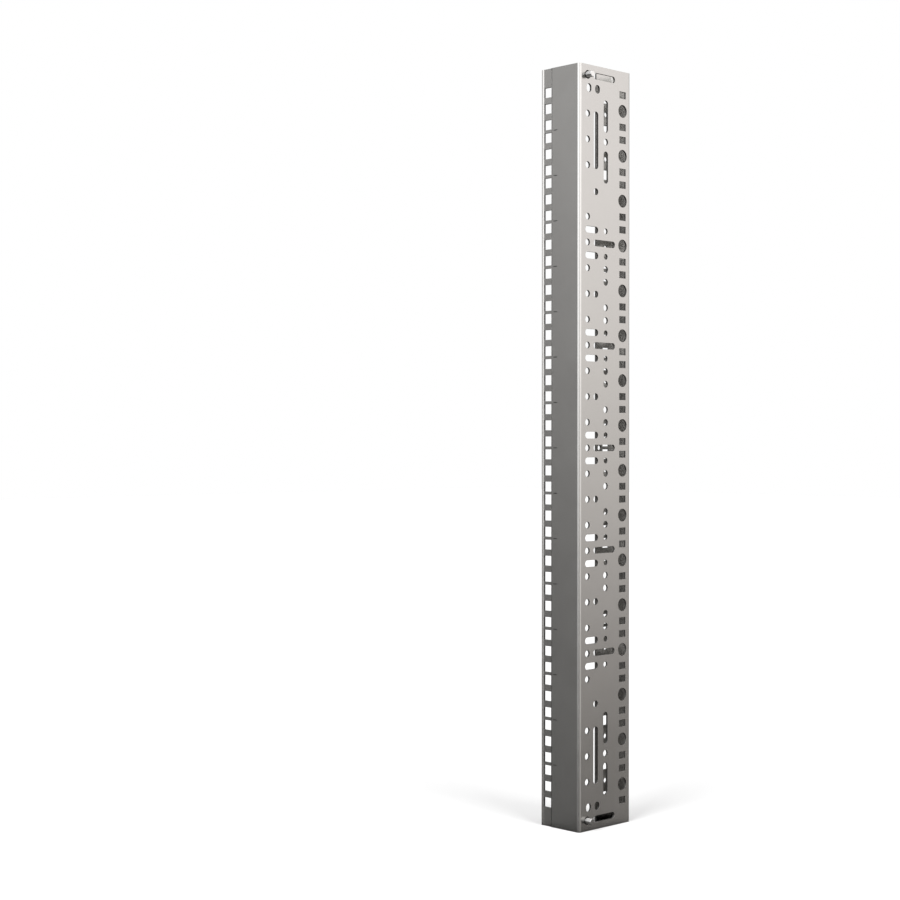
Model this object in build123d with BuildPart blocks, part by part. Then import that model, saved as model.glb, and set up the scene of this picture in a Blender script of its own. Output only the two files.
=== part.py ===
"""Rack mounting rail: one bent and punched steel section with two press-in studs.

The section is drawn in plan. X runs along the web, Y goes from the web's outer face
into the channel, and Z is the height. All sizes are millimetres.
"""
from build123d import *
from math import cos, radians, sin
import os

os.makedirs("parts", exist_ok=True)

# Height: rack units and the plain stock past the first and last one
unit_pitch = 44.45
unit_count = 16
end_margin = 16.9
height = unit_count * unit_pitch + 2 * end_margin
middle = height / 2

# Sheet and bends, with each radius on the sheet's middle
sheet = 2.0
bend_radius = 2.0
step_radius = 1.4
flare_radius = 2.4

# Section: front flange, stepped strip with a flared edge, web, rear flange and lip
web_width = 75.8
front_depth = 36.0
step_inwards = 0.8
step_run = 1.8
strip_width = 11.0
flare_angle = 57.0
flare_length = 1.7
rear_depth = 25.0
lip_width = 25.1

# Punched openings inside each rack unit, measured up from the unit's lower line
square = 9.7
square_offset = 6.5
unit_outer_offset = 6.35
unit_middle_offset = unit_pitch / 2
rear_slot_width = 9.6
rear_slot_height = 6.9
rear_hole = 12.7
rear_column_inset = 12.2
lip_hole = 5.3
lip_square_inset = 10.7
lip_hole_inset = 20.2

# Engraved line at each rack unit's boundary, beside the stepped strip
mark_length = 4.8
mark_height = 0.9
mark_depth = 0.3
mark_gap = 1.65

# Fixing holes of the web: three columns from the front corner, in clusters of rows
hole_pitch = 25.0
cluster_count = 5
rows_per_cluster = 4
cluster_pitch = rows_per_cluster * hole_pitch
first_column = 11.8
second_column = 23.9
third_column = 38.4
small_hole = 6.6
tight_hole = 5.6
first_column_count = 19
second_column_count = 6
short_slot_width = 6.6
long_slot_width = 6.4
long_slot_reach = 25.0

# Fixing holes near the rail's ends, with their distance from the end
end_group_inset = 72.5
end_slot_width = 6.6
end_slot_length = 56.0
upright_slot_width = 6.4
end_hole_width = 6.9
end_hole_height = 8.3
end_hole_inset = 22.5
end_hole_column = 13.6
end_hole_spacing = 12.4

# Press-in studs at both ends
stud_inset = 10.0
stud_diameter = 6.0
stud_reach = 6.5
stud_chamfer = 0.7
stud_relief = 8.4
stud_head = 10.2
stud_head_thickness = 0.8
stud_clearance = 0.05

# The section's line on the sheet's middle, at the front strip and its flared edge
half_sheet = sheet / 2
strip_x = half_sheet + step_inwards
strip_start = front_depth + step_run
strip_end = strip_start + strip_width
flare_x = strip_x - flare_length * sin(radians(flare_angle))
flare_y = strip_end + flare_length * cos(radians(flare_angle))

# The origin is the middle of the overall box, on the bottom end
box_left = min(0, flare_x - half_sheet * cos(radians(flare_angle)))
box_back = flare_y + half_sheet * sin(radians(flare_angle))
origin_x = (box_left + web_width) / 2
origin_y = (box_back - stud_reach) / 2


def across(distance):
    """X of a point at this distance from the front corner, along the web."""
    return distance - origin_x


def inwards(depth):
    """Y of a point at this depth behind the web's outer face."""
    return depth - origin_y


def unit_heights(offset):
    """One height in each rack unit, at this offset from the unit's lower line."""
    return [end_margin + unit * unit_pitch + offset for unit in range(unit_count)]


def centred_rows(count, spacing):
    """Heights of evenly spaced rows, measured from the middle of the rail."""
    return [(row - (count - 1) / 2) * spacing for row in range(count)]


def beside(heights, offset):
    """Two heights for each one given, this far below it and above it."""
    return [z + side * offset for z in heights for side in (-1, 1)]


# Heights up from the bottom end
outer_heights = unit_heights(unit_outer_offset) + unit_heights(unit_pitch - unit_outer_offset)
middle_heights = unit_heights(unit_middle_offset)
boundary_heights = unit_heights(0)[1:]

# Heights from the middle, up and down alike
half_pitch = hole_pitch / 2
cluster_heights = centred_rows(cluster_count, cluster_pitch)
tight_heights = beside(cluster_heights, half_pitch)
wide_heights = beside(cluster_heights, hole_pitch) + beside(cluster_heights, hole_pitch + half_pitch)
between_heights = [z for z in wide_heights if abs(z) < cluster_heights[-1]]
end_group_heights = beside([0], middle - end_group_inset)
end_hole_heights = beside([0], middle - end_hole_inset)
stud_heights = beside([0], middle - stud_inset)

web_plane = Plane(origin=(0, inwards(0), middle), x_dir=(1, 0, 0), z_dir=(0, -1, 0))
front_plane = Plane(origin=(across(0), 0, 0), x_dir=(0, -1, 0), z_dir=(-1, 0, 0))
lip_plane = Plane(origin=(0, inwards(rear_depth), 0), x_dir=(-1, 0, 0), z_dir=(0, 1, 0))

with BuildPart() as rail:
    # One strip of sheet, bent into the section
    with BuildSketch(Plane.XY):
        with BuildLine():
            FilletPolyline(
                (across(web_width - lip_width), inwards(rear_depth - half_sheet)),
                (across(web_width - half_sheet), inwards(rear_depth - half_sheet)),
                (across(web_width - half_sheet), inwards(half_sheet)),
                (across(half_sheet), inwards(half_sheet)),
                (across(half_sheet), inwards(front_depth)),
                (across(strip_x), inwards(strip_start)),
                (across(strip_x), inwards(strip_end)),
                (across(flare_x), inwards(flare_y)),
                radius=[bend_radius] * 3 + [step_radius] * 2 + [flare_radius],
            )
        trace(line_width=sheet)
    extrude(amount=height)

    # Square openings of the front strip
    with BuildSketch(front_plane):
        square_y = -inwards(front_depth + square_offset)
        with Locations(*[(square_y, z) for z in outer_heights + middle_heights]):
            Rectangle(square, square)
    extrude(amount=-(sheet + 2 * step_inwards), mode=Mode.SUBTRACT)

    # Engraved unit lines beside the strip
    with BuildSketch(front_plane):
        mark_y = -inwards(front_depth - mark_gap - mark_length / 2)
        with Locations(*[(mark_y, z) for z in boundary_heights]):
            Rectangle(mark_length, mark_height)
    extrude(amount=-mark_depth, mode=Mode.SUBTRACT)

    # Rear column of the web: two slots and a round hole in each rack unit
    with BuildSketch(web_plane):
        rear_x = across(web_width - rear_column_inset)
        with Locations(*[(rear_x, z - middle) for z in outer_heights]):
            Rectangle(rear_slot_width, rear_slot_height)
        with Locations(*[(rear_x, z - middle) for z in middle_heights]):
            Circle(rear_hole / 2)
    extrude(amount=-sheet, mode=Mode.SUBTRACT)

    # First column of the web: round holes, and short slots that reach the second column
    with BuildSketch(web_plane):
        round_heights = centred_rows(first_column_count, hole_pitch) + end_group_heights
        round_heights += beside(end_group_heights, hole_pitch)
        with Locations(*[(across(first_column), z) for z in round_heights]):
            Circle(small_hole / 2)
        with Locations(*[(across((first_column + second_column) / 2), z) for z in tight_heights]):
            SlotCenterToCenter(second_column - first_column, short_slot_width)
    extrude(amount=-sheet, mode=Mode.SUBTRACT)

    # Second column of the web: round holes between the clusters and an upright slot at each end
    with BuildSketch(web_plane):
        with Locations(*[(across(second_column), z)
                         for z in centred_rows(second_column_count, cluster_pitch)]):
            Circle(small_hole / 2)
        with Locations(*[(across(second_column), z) for z in end_group_heights]):
            SlotOverall(end_slot_length, end_slot_width, rotation=90)
    extrude(amount=-sheet, mode=Mode.SUBTRACT)

    # Long level slots from the second column, in each cluster and beside the studs
    with BuildSketch(web_plane):
        long_slot_x = across(second_column + long_slot_reach / 2)
        with Locations(*[(long_slot_x, z) for z in cluster_heights + stud_heights]):
            SlotCenterToCenter(long_slot_reach, long_slot_width)
    extrude(amount=-sheet, mode=Mode.SUBTRACT)

    # Third column of the web: round holes, and upright slots near the ends
    with BuildSketch(web_plane):
        with Locations(*[(across(third_column), z) for z in tight_heights]):
            Circle(tight_hole / 2)
        with Locations(*[(across(third_column), z) for z in between_heights + end_group_heights]):
            Circle(small_hole / 2)
        with Locations(*[(across(third_column), z) for z in beside(end_group_heights, hole_pitch)]):
            SlotCenterToCenter(hole_pitch, upright_slot_width, rotation=90)
    extrude(amount=-sheet, mode=Mode.SUBTRACT)

    # Two upright oval holes at each end of the web
    with BuildSketch(web_plane):
        for column in (end_hole_column, end_hole_column + end_hole_spacing):
            with Locations(*[(across(column), z) for z in end_hole_heights]):
                SlotOverall(end_hole_height, end_hole_width, rotation=90)
    extrude(amount=-sheet, mode=Mode.SUBTRACT)

    # Lip: squares and round holes in one column, more round holes nearer the free edge
    with BuildSketch(lip_plane):
        square_x = -across(web_width - lip_square_inset)
        with Locations(*[(square_x, z) for z in outer_heights]):
            Rectangle(square, square)
        with Locations(*[(square_x, z) for z in middle_heights]):
            Circle(lip_hole / 2)
        with Locations(*[(-across(web_width - lip_hole_inset), z) for z in boundary_heights]):
            Circle(lip_hole / 2)
    extrude(amount=-sheet, mode=Mode.SUBTRACT)

    # Stepped holes that the studs are pressed into from the inside
    stud_points = [(across(first_column), z) for z in stud_heights]
    with BuildSketch(web_plane):
        with Locations(*stud_points):
            Circle(stud_relief / 2)
    extrude(amount=-sheet, mode=Mode.SUBTRACT)
    with BuildSketch(web_plane.offset(-sheet)):
        with Locations(*stud_points):
            Circle(stud_head / 2 + stud_clearance)
    extrude(amount=stud_head_thickness, mode=Mode.SUBTRACT)

rail.part.label = "rail"
export_step(rail.part, "parts/rail.step")


def make_stud(name, height_from_middle):
    """A press-in stud: head flush with the web's inner face, threaded end standing out."""
    foot = Plane(
        origin=(across(first_column), inwards(sheet), middle + height_from_middle),
        x_dir=(1, 0, 0),
        z_dir=(0, -1, 0),
    )
    upwards = (Align.CENTER, Align.CENTER, Align.MIN)
    with BuildPart(foot) as stud:
        Cylinder(stud_head / 2, stud_head_thickness, align=upwards)
        Cylinder(stud_diameter / 2, sheet + stud_reach, align=upwards)
        tip = stud.faces().sort_by(Axis.Y)[0]
        chamfer(tip.edges(), length=stud_chamfer)
    stud.part.label = name
    export_step(stud.part, f"parts/{name}.step")


for stud_name, stud_height in zip(("lower_stud", "upper_stud"), stud_heights):
    make_stud(stud_name, stud_height)
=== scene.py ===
"""Looks of the rack mounting rail: satin plated steel, threaded studs, studio light and camera.

Lengths are metres in the CAD's own frame. X runs along the web from the front corner, Y goes
from the web's outer face into the channel, and Z is the height.
"""
from math import cos, pi, radians, sin

import bpy
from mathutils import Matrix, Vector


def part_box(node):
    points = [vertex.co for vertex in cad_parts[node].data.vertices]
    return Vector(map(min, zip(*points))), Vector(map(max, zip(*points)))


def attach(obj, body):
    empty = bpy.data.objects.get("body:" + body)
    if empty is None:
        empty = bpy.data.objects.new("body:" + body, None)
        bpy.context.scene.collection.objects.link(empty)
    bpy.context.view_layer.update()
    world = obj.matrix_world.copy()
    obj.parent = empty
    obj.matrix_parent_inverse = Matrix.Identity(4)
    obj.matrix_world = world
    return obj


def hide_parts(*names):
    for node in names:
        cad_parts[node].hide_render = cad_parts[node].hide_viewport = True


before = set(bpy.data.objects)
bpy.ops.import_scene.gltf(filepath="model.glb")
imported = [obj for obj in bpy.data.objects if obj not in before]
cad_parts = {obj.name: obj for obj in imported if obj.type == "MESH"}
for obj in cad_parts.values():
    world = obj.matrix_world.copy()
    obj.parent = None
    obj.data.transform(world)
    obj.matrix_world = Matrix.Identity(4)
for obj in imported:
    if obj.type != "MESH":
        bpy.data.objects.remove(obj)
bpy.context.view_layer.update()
scene = bpy.context.scene


# ---- helpers ---------------------------------------------------------------

class Graph:
    """Short calls for building the node tree of one material or world."""

    def __init__(self, owner):
        owner.use_nodes = True
        self.tree = owner.node_tree
        self.tree.nodes.clear()

    def node(self, kind, inputs=None, **settings):
        """Add a node. Its inputs go by name or index, and are outputs to link or plain values."""
        made = self.tree.nodes.new(kind)
        for name, value in settings.items():
            setattr(made, name, value)
        for key, value in (inputs or {}).items():
            if isinstance(value, bpy.types.NodeSocket):
                self.tree.links.new(value, made.inputs[key])
            else:
                made.inputs[key].default_value = value
        return made

    def math(self, operation, *values):
        return self.node("ShaderNodeMath", dict(enumerate(values)), operation=operation).outputs[0]

    def weigh(self, *pairs):
        """Sum of values, each times its weight."""
        total = self.math("MULTIPLY", *pairs[0])
        for value, weight in pairs[1:]:
            total = self.math("MULTIPLY_ADD", value, weight, total)
        return total

    def spread(self, value, from_low, from_high, to_low, to_high, kind="LINEAR"):
        """Carry a value from one range over to another, held at both ends."""
        inputs = dict(enumerate((value, from_low, from_high, to_low, to_high)))
        return self.node("ShaderNodeMapRange", inputs, interpolation_type=kind).outputs[0]

    def mix(self, share, low, high):
        """Colour between two colours."""
        return self.node("ShaderNodeMix", {0: share, 6: low, 7: high}, data_type="RGBA").outputs[2]

    def scale(self, colour, factor):
        """Colour times one number."""
        inputs = {0: colour, 3: factor}
        return self.node("ShaderNodeVectorMath", inputs, operation="SCALE").outputs[0]

    def noise(self, place, scale, detail, roughness, stretch=(1, 1, 1)):
        mapped = self.node("ShaderNodeMapping", {"Vector": place, "Scale": stretch}).outputs[0]
        return self.node("ShaderNodeTexNoise", {
            "Vector": mapped, "Scale": scale, "Detail": detail, "Roughness": roughness,
        }).outputs["Fac"]

    def ramp(self, share, stops):
        """Colour along a ramp, from stops of a place and a colour."""
        made = self.node("ShaderNodeValToRGB", {0: share})
        elements = made.color_ramp.elements
        while len(elements) < len(stops):
            elements.new(0.5)
        for element, (position, colour) in zip(elements, stops):
            element.position = position
            element.color = (*colour, 1)
        return made.outputs[0]

    def mix_shader(self, share, low, high):
        return self.node("ShaderNodeMixShader", {0: share, 1: low, 2: high}).outputs[0]


def add_mesh(name, points, faces, material):
    """A new object with this mesh and material."""
    mesh = bpy.data.meshes.new(name)
    mesh.from_pydata(points, [], faces)
    mesh.validate()
    mesh.materials.append(material)
    made = bpy.data.objects.new(name, mesh)
    scene.collection.objects.link(made)
    return made


def dress(node, material):
    """Give a CAD node this material and no other."""
    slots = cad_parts[node].data.materials
    slots.clear()
    slots.append(material)


# ---- places on the rail ----------------------------------------------------

# The X of the front corner and the Y of the web's outer face, which other places start from
CORNER = -0.0378148
WEB_FACE = -0.0220323

# The rail's height, and the margin that keeps its cut ends apart from the openings' walls
HEIGHT = 0.745
END_MARGIN = 0.0005

# The engraved unit lines of the front flange, and how far off a point still counts as in one
RACK_UNIT = 0.04445
FIRST_UNIT_LINE = 0.0169
MARK_LENGTH = 0.0048
MARK_HEIGHT = 0.0009
MARK_DEPTH = 0.0003
MARK_CENTRE = WEB_FACE + 0.0360 - 0.00165 - MARK_LENGTH / 2
MARK_MARGIN = 0.00005
MARK_FLOOR_MARGIN = 0.00003
MARK_TOP_MARGIN = 0.00001

# The sheet's middle at the web, the lip and the front strip, and nearly half its thickness
WEB_MIDDLE = WEB_FACE + 0.0010
LIP_MIDDLE = WEB_FACE + 0.0240
STRIP_MIDDLE = CORNER + 0.0018
WALL_HALF = 0.00095

# Their flat runs, clear of the bends
FLAT_HALF = 0.0335
STRIP_CENTRE = WEB_FACE + 0.0425
STRIP_HALF = 0.0051

# The step between the front flange and its strip, with painted shade that is fully dark in its
# core
STEP_CENTRE = WEB_FACE + 0.0370
STEP_CORE = 0.0005
STEP_HALF = 0.0012


def unit_marks(g, place):
    """1 on the floor and walls of the engraved unit lines, 0 elsewhere."""
    axis = g.node("ShaderNodeSeparateXYZ", {0: place}).outputs
    half_depth = MARK_DEPTH / 2
    walls = g.math("COMPARE", axis["X"], CORNER + half_depth, half_depth - MARK_TOP_MARGIN)
    floor_face = g.math("COMPARE", axis["X"], CORNER + MARK_DEPTH, MARK_FLOOR_MARGIN)
    inside = g.math("MAXIMUM", walls, floor_face)
    along = g.math("COMPARE", axis["Y"], MARK_CENTRE, MARK_LENGTH / 2 + MARK_MARGIN)
    units_up = g.math("MULTIPLY_ADD", axis["Z"], 1 / RACK_UNIT, 0.5 - FIRST_UNIT_LINE / RACK_UNIT)
    half_height = (MARK_HEIGHT / 2 + MARK_MARGIN) / RACK_UNIT
    level = g.math("COMPARE", g.math("FRACT", units_up), 0.5, half_height)
    return g.math("MULTIPLY", g.math("MULTIPLY", inside, along), level)


def step_crease_shade(g, place):
    """Mask of painted shade: 1 along the step beside the front strip, fading to 0 at both sides of
    it.
    """
    axis = g.node("ShaderNodeSeparateXYZ", {0: place}).outputs
    off = g.math("ABSOLUTE", g.math("SUBTRACT", axis["Y"], STEP_CENTRE))
    near = g.spread(off, STEP_CORE, STEP_HALF, 1, 0, "SMOOTHSTEP")
    return g.math("MULTIPLY", near, g.math("LESS_THAN", axis["X"], STRIP_MIDDLE))


def punched_walls(g, place):
    """1 on the walls of the openings in the web, the lip and the front strip, 0 elsewhere. It
    carries their roughness and their darker colour, which is partly bare sheared steel and partly
    painted shade.
    """
    axis = g.node("ShaderNodeSeparateXYZ", {0: place}).outputs
    in_web = g.math("COMPARE", axis["Y"], WEB_MIDDLE, WALL_HALF)
    in_lip = g.math("COMPARE", axis["Y"], LIP_MIDDLE, WALL_HALF)
    on_flat = g.math("COMPARE", axis["X"], 0, FLAT_HALF)
    in_strip = g.math("COMPARE", axis["X"], STRIP_MIDDLE, WALL_HALF)
    on_strip = g.math("COMPARE", axis["Y"], STRIP_CENTRE, STRIP_HALF)
    found = g.math("MULTIPLY", g.math("ADD", in_web, in_lip), on_flat)
    found = g.math("ADD", found, g.math("MULTIPLY", in_strip, on_strip))
    between_ends = g.math("COMPARE", axis["Z"], HEIGHT / 2, HEIGHT / 2 - END_MARGIN)
    return g.math("MULTIPLY", found, between_ends)


# ---- steel -----------------------------------------------------------------

EDGE_COLOUR = (0.90, 0.89, 0.87, 1)
MARK_COLOUR = (0.195, 0.193, 0.189, 1)
# Walls of the openings: bare sheared steel, darkened further with painted shade of the openings
SHEARED_AND_SHADED_DARK = (0.25, 0.245, 0.238, 1)
SHEARED_AND_SHADED_LIGHT = (0.34, 0.333, 0.322, 1)
TORN_ROUGHER = 0.15
# Painted shade: how dark the step's crease is painted
CREASE_SHADE = 0.70
# Painted shade in the hollows of the thread and where the shank is near other surfaces
THREAD_SHADE = 0.03
THREAD_REACH = 0.0016
RELIEF_HEIGHT = 0.00002
UPRIGHT_LINES = (1500, 1500, 22)


def rail_details(g, place, colour, rough):
    """Darker engraved lines, painted shade along the step, and torn walls in the punched openings:
    rougher, and darker partly as bare sheared steel and partly as painted shade.
    """
    colour = g.mix(unit_marks(g, place), colour, MARK_COLOUR)
    # Painted shade along the step between the front flange and its strip
    colour = g.scale(colour, g.spread(step_crease_shade(g, place), 0, 1, 1, CREASE_SHADE))
    wall = punched_walls(g, place)
    # The walls' darker colour is partly bare sheared steel and partly painted shade of the
    # openings
    sheared_and_shaded = g.mix(g.noise(place, 900, 3, 0.6), SHEARED_AND_SHADED_DARK, SHEARED_AND_SHADED_LIGHT)
    return g.mix(wall, colour, sheared_and_shaded), g.math("MULTIPLY_ADD", wall, TORN_ROUGHER, rough)


def thread_hollow_shade(g, place, colour, rough):
    """Painted shade: dark hollows between the turns of the thread, and darker wherever other
    surfaces lie within THREAD_REACH.
    """
    light = g.node("ShaderNodeAmbientOcclusion", {"Distance": THREAD_REACH}, samples=8)
    return g.scale(colour, g.spread(light.outputs["AO"], 0.50, 0.92, THREAD_SHADE, 1)), rough


def steel(name, dark, light, roughness, edge_radius, relief_strength, details):
    """Satin steel: soft mottling, fine upright drawing lines, grain and brighter edges."""
    material = bpy.data.materials.new(name)
    g = Graph(material)
    place = g.node("ShaderNodeTexCoord").outputs["Object"]

    cloud = g.noise(place, 16, 4, 0.6)
    blotch = g.noise(place, 90, 3, 0.55)
    streak = g.noise(place, 1, 3, 0.6, stretch=UPRIGHT_LINES)
    grain = g.noise(place, 2600, 2, 0.6)
    tone = g.weigh((cloud, 0.55), (blotch, 0.25), (streak, 0.2))
    colour = g.mix(g.spread(tone, 0.36, 0.64, 0, 1), dark, light)

    # Edges are where the rounded normal turns away from the flat one
    rounded = g.node("ShaderNodeBevel", {"Radius": edge_radius}, samples=6).outputs[0]
    flat = g.node("ShaderNodeNewGeometry").outputs["Normal"]
    facing = g.node("ShaderNodeVectorMath", {0: rounded, 1: flat}, operation="DOT_PRODUCT")
    edge = g.spread(facing.outputs["Value"], 0.995, 0.86, 0, 1)
    edge = g.math("MULTIPLY", edge, g.spread(blotch, 0.35, 0.6, 0.1, 0.5))
    colour = g.mix(edge, colour, EDGE_COLOUR)

    rough = g.spread(tone, 0.35, 0.65, roughness - 0.015, roughness + 0.015)
    rough = g.math("ADD", rough, g.spread(grain, 0.3, 0.7, -0.02, 0.02))
    colour, rough = details(g, place, colour, rough)

    bump = g.node("ShaderNodeBump", {
        "Strength": relief_strength, "Distance": RELIEF_HEIGHT,
        "Height": g.weigh((streak, 0.6), (grain, 0.4)), "Normal": rounded})
    shader = g.node("ShaderNodeBsdfPrincipled", {
        "Base Color": colour, "Metallic": 1.0, "Roughness": rough, "Normal": bump.outputs[0]})
    g.node("ShaderNodeOutputMaterial", {"Surface": shader.outputs[0]})
    return material


plated_steel = steel(
    "plated_steel", dark=(0.697, 0.688, 0.668, 1), light=(0.729, 0.720, 0.699, 1),
    roughness=0.24, edge_radius=0.0001, relief_strength=0.2, details=rail_details)
bright_steel = steel(
    "bright_steel", dark=(0.90, 0.90, 0.89, 1), light=(0.97, 0.97, 0.96, 1),
    roughness=0.13, edge_radius=0.00008, relief_strength=0.15, details=thread_hollow_shade)

dress("rail", plated_steel)

# ---- threaded studs --------------------------------------------------------

STUD_RADIUS = 0.0030
HEAD_THICKNESS = 0.0008
HEAD_EDGE = 0.00015
HEAD_FACE_RING = 0.0004
TIP_CHAMFER = 0.0004
TIP_FACE_RING = (STUD_RADIUS - TIP_CHAMFER) * 0.55

# The thread: its flat root and its flank as shares of half a pitch, and where it sets in
THREAD_PITCH = 0.0010
THREAD_DEPTH = 0.00050
THREAD_ROOT = 0.16
THREAD_FLANK = 0.66
THREAD_START = HEAD_THICKNESS + 0.0006

AROUND = 56
STEPS_A_TURN = 12
SHARP_ANGLE = 40


def held(value):
    """The value, kept between 0 and 1."""
    return min(1.0, max(0.0, value))


def thread_radius(distance, turn, length):
    """Radius at this distance from the head's face and this share of a turn."""
    phase = (distance / THREAD_PITCH - turn) % 1.0
    height = held((abs(phase - 0.5) * 2 - THREAD_ROOT) / THREAD_FLANK)
    fade = held((distance - THREAD_START) / THREAD_PITCH)
    fade *= held((length - distance) / (0.3 * THREAD_PITCH) + 0.4)
    return STUD_RADIUS - THREAD_DEPTH * (1 - height) * fade


def stud_rings(head_radius, length):
    """Distance and radii of each ring of points, from the head's face to the tip's."""
    head = [
        (0.0, HEAD_FACE_RING), (0.0, head_radius - HEAD_EDGE), (HEAD_EDGE, head_radius),
        (HEAD_THICKNESS - HEAD_EDGE, head_radius), (HEAD_THICKNESS, head_radius - HEAD_EDGE),
        (HEAD_THICKNESS, STUD_RADIUS + HEAD_EDGE), (HEAD_THICKNESS + HEAD_EDGE, STUD_RADIUS),
    ]
    rings = [(distance, [radius] * AROUND) for distance, radius in head]
    start = HEAD_THICKNESS + 2 * HEAD_EDGE
    count = int((length - start) / (THREAD_PITCH / STEPS_A_TURN))
    for index in range(count + 1):
        distance = start + (length - start) * index / count
        cone = STUD_RADIUS - max(0.0, distance - (length - TIP_CHAMFER))
        rings.append((distance, [
            min(cone, thread_radius(distance, turn / AROUND, length)) for turn in range(AROUND)]))
    rings.append((length, [TIP_FACE_RING] * AROUND))
    return rings


def threaded_stud(name, node):
    """A press-in stud in its CAD node's place: round head, threaded shank, chamfered tip."""
    low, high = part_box(node)
    centre_x, centre_z = (low.x + high.x) / 2, (low.z + high.z) / 2
    rings = stud_rings((high.x - low.x) / 2, high.y - low.y)
    points, faces = [], []
    for distance, radii in rings:
        for turn, radius in enumerate(radii):
            angle = 2 * pi * turn / AROUND
            points.append((
                centre_x + radius * cos(angle), high.y - distance, centre_z + radius * sin(angle)))
    for ring in range(len(rings) - 1):
        for turn in range(AROUND):
            a, b = ring * AROUND + turn, ring * AROUND + (turn + 1) % AROUND
            faces.append((a, a + AROUND, b + AROUND, b))
    faces.append(tuple(range(AROUND)))
    faces.append(tuple(reversed(range((len(rings) - 1) * AROUND, len(rings) * AROUND))))

    stud = add_mesh(name, points, faces, bright_steel)
    for polygon in stud.data.polygons:
        polygon.use_smooth = True
    stud.data.set_sharp_from_angle(angle=radians(SHARP_ANGLE))
    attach(stud, "root")
    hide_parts(node)


for stud_node in ("lower_stud", "upper_stud"):
    dress(stud_node, bright_steel)
    threaded_stud(stud_node + "_threaded", stud_node)

# ---- floor -----------------------------------------------------------------

FLOOR_HALF = 9
FLOOR_LEVEL = -0.0002
PAPER_WHITE = (0.95, 0.95, 0.95, 1)
RAIL_NEARNESS = 0.12

# Reflections in the steel see the studio's dark lower half through the paper, and shade near
# the rail
floor_paper = bpy.data.materials.new("floor_paper")
paper = Graph(floor_paper)
near_rail = paper.node("ShaderNodeAmbientOcclusion", {"Distance": RAIL_NEARNESS}, samples=8)
shade = paper.spread(near_rail.outputs["AO"], 0.35, 0.95, 0, 1)
paper_surface = paper.mix_shader(
    paper.node("ShaderNodeLightPath").outputs["Is Glossy Ray"],
    paper.node("ShaderNodeBsdfDiffuse", {"Color": PAPER_WHITE}).outputs[0],
    paper.node("ShaderNodeBsdfTransparent", {"Color": shade}).outputs[0])
paper.node("ShaderNodeOutputMaterial", {"Surface": paper_surface})

floor_corners = [
    (x * FLOOR_HALF, y * FLOOR_HALF, FLOOR_LEVEL) for x, y in ((-1, -1), (1, -1), (1, 1), (-1, 1))]
add_mesh("floor", floor_corners, [(0, 1, 2, 3)], floor_paper)

# ---- studio light ----------------------------------------------------------

# Azimuths are degrees from +X towards +Y, and elevations are degrees above the horizon
BLACK, WHITE = (0, 0, 0), (1, 1, 1)
COOLER = (1.03, 1.045, 1.08, 1)
REFLECTED_STRENGTH = 0.87
DIFFUSE_STRENGTH = 0.62

# Soft panels round the rail. The brightest stand at both sides of the camera
PANELS = [
    (-180, (1.75, 1.73, 1.71)), (-166, (2.20, 2.17, 2.14)), (-150, (1.50, 1.47, 1.44)),
    (-127, (1.22, 1.19, 1.16)), (-103, (1.55, 1.50, 1.45)), (-83, (2.10, 2.03, 1.96)),
    (-62, (1.25, 1.20, 1.16)), (-42, (1.15, 1.09, 1.04)), (-31, (1.04, 0.99, 0.95)),
    (-12, (0.55, 0.53, 0.515)), (22, (0.32, 0.312, 0.308)), (46, (0.24, 0.237, 0.233)),
    (105, (0.26, 0.257, 0.253)), (150, (1.35, 1.34, 1.32)), (179.9, (1.75, 1.73, 1.71)),
]
LEFT_PANEL = [
    (-180, WHITE), (-150, WHITE), (-125, (0.5, 0.5, 0.5)), (-105, BLACK), (150, BLACK),
    (170, WHITE),
]
FLAG = [(112, BLACK), (122, WHITE), (144, WHITE), (151, BLACK)]
FLAG_LIGHT = [
    (0, (0.108, 0.107, 0.105)), (0.24, (0.146, 0.1445, 0.142)), (0.5, (0.205, 0.202, 0.200)),
    (1, (0.486, 0.482, 0.477)),
]

world = bpy.data.worlds.new("studio")
scene.world = world
w = Graph(world)
direction = w.node("ShaderNodeTexCoord").outputs["Generated"]
axis = w.node("ShaderNodeSeparateXYZ", {0: direction}).outputs
azimuth = w.spread(w.math("ARCTAN2", axis["Y"], axis["X"]), -pi, pi, 0, 1)
elevation = w.math("MULTIPLY", w.math("ARCSINE", axis["Z"]), 180 / pi)


def around(stops):
    """Colour round the horizon, from stops of an azimuth and a colour."""
    return w.ramp(azimuth, [((angle + 180) / 360, colour) for angle, colour in stops])


# The panel on the left hangs higher than the others
shortfall = w.math("MULTIPLY", around(LEFT_PANEL), w.spread(elevation, -9, 5, 0.6, 0))
panel_light = w.mix(shortfall, around(PANELS), (*BLACK, 1))
# The light falls off towards the floor, but for a soft band of light on the floor round the rail
falloff = w.spread(elevation, -14, 9, 0.125, 1, "SMOOTHSTEP")
band = w.spread(elevation, -15, -24, 0, 0.22)
band_end = w.spread(elevation, -50, -30, 0.25, 1)
falloff = w.math("MULTIPLY_ADD", band, band_end, falloff)
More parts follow.
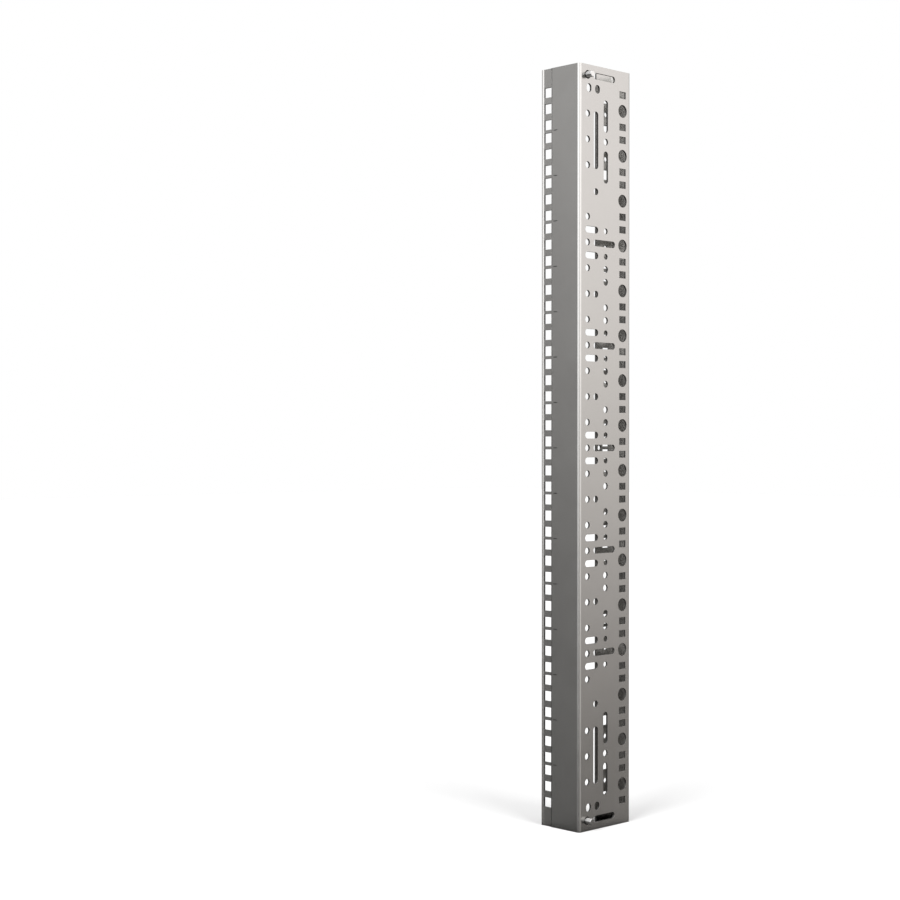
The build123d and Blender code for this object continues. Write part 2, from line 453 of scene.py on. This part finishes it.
# It is a little weaker just below the horizon, and a little cooler higher up
below_horizon = w.math("ABSOLUTE", w.math("ADD", elevation, 8))
dip = w.spread(below_horizon, 0.5, 5, 0.935, 1, "SMOOTHSTEP")
panel_light = w.scale(panel_light, w.math("MULTIPLY", falloff, dip))
cooler = w.mix(w.spread(elevation, -10, 12, 0, 1), (*WHITE, 1), COOLER)
panel_light = w.node("ShaderNodeVectorMath", {0: panel_light, 1: cooler}, operation="MULTIPLY")
# A grey flag on the left keeps the front flange darker than the web
flag_light = w.ramp(w.spread(elevation, -15, 15, 0, 1), FLAG_LIGHT)
reflected = w.mix(around(FLAG), panel_light.outputs[0], flag_light)


def sky(colour, strength):
    return w.node("ShaderNodeBackground", {"Color": colour, "Strength": strength}).outputs[0]


# The steel reflects the panels, the paper is lit by an even white sky, and the camera sees white
rays = w.node("ShaderNodeLightPath").outputs
lighting = w.mix_shader(
    rays["Is Diffuse Ray"], sky(reflected, REFLECTED_STRENGTH), sky((*WHITE, 1), DIFFUSE_STRENGTH))
surroundings = w.mix_shader(rays["Is Camera Ray"], lighting, sky((*WHITE, 1), 1))
w.node("ShaderNodeOutputWorld", {"Surface": surroundings})


LAMP_WIDTH = 30
LAMP_ELEVATION = 36


def soft_light(name, from_azimuth, strength):
    """A wide distant lamp that lights the floor and throws a faint shadow behind the rail."""
    lamp = bpy.data.lights.new(name, "SUN")
    lamp.energy = strength
    lamp.angle = radians(LAMP_WIDTH)
    holder = bpy.data.objects.new(name, lamp)
    holder.rotation_euler = (radians(90 - LAMP_ELEVATION), 0, radians(from_azimuth + 90))
    holder.visible_glossy = False
    scene.collection.objects.link(holder)


soft_light("front_left_lamp", -172, 1.6)
soft_light("front_right_lamp", -98, 1.2)

# ---- camera ----------------------------------------------------------------

CAMERA_PLACE = (-1.3054, -1.1575, 0.3780)
CAMERA_TURN = (90 - 0.2528, -0.022, -43.93)
FOCAL_LENGTH = 70.23
SENSOR_WIDTH = 36

camera_data = bpy.data.cameras.new("camera")
camera_data.sensor_width = SENSOR_WIDTH
camera_data.lens = FOCAL_LENGTH
camera = bpy.data.objects.new("camera", camera_data)
camera.location = CAMERA_PLACE
camera.rotation_euler = [radians(angle) for angle in CAMERA_TURN]
scene.collection.objects.link(camera)
scene.camera = camera
scene.view_settings.view_transform = "Standard"
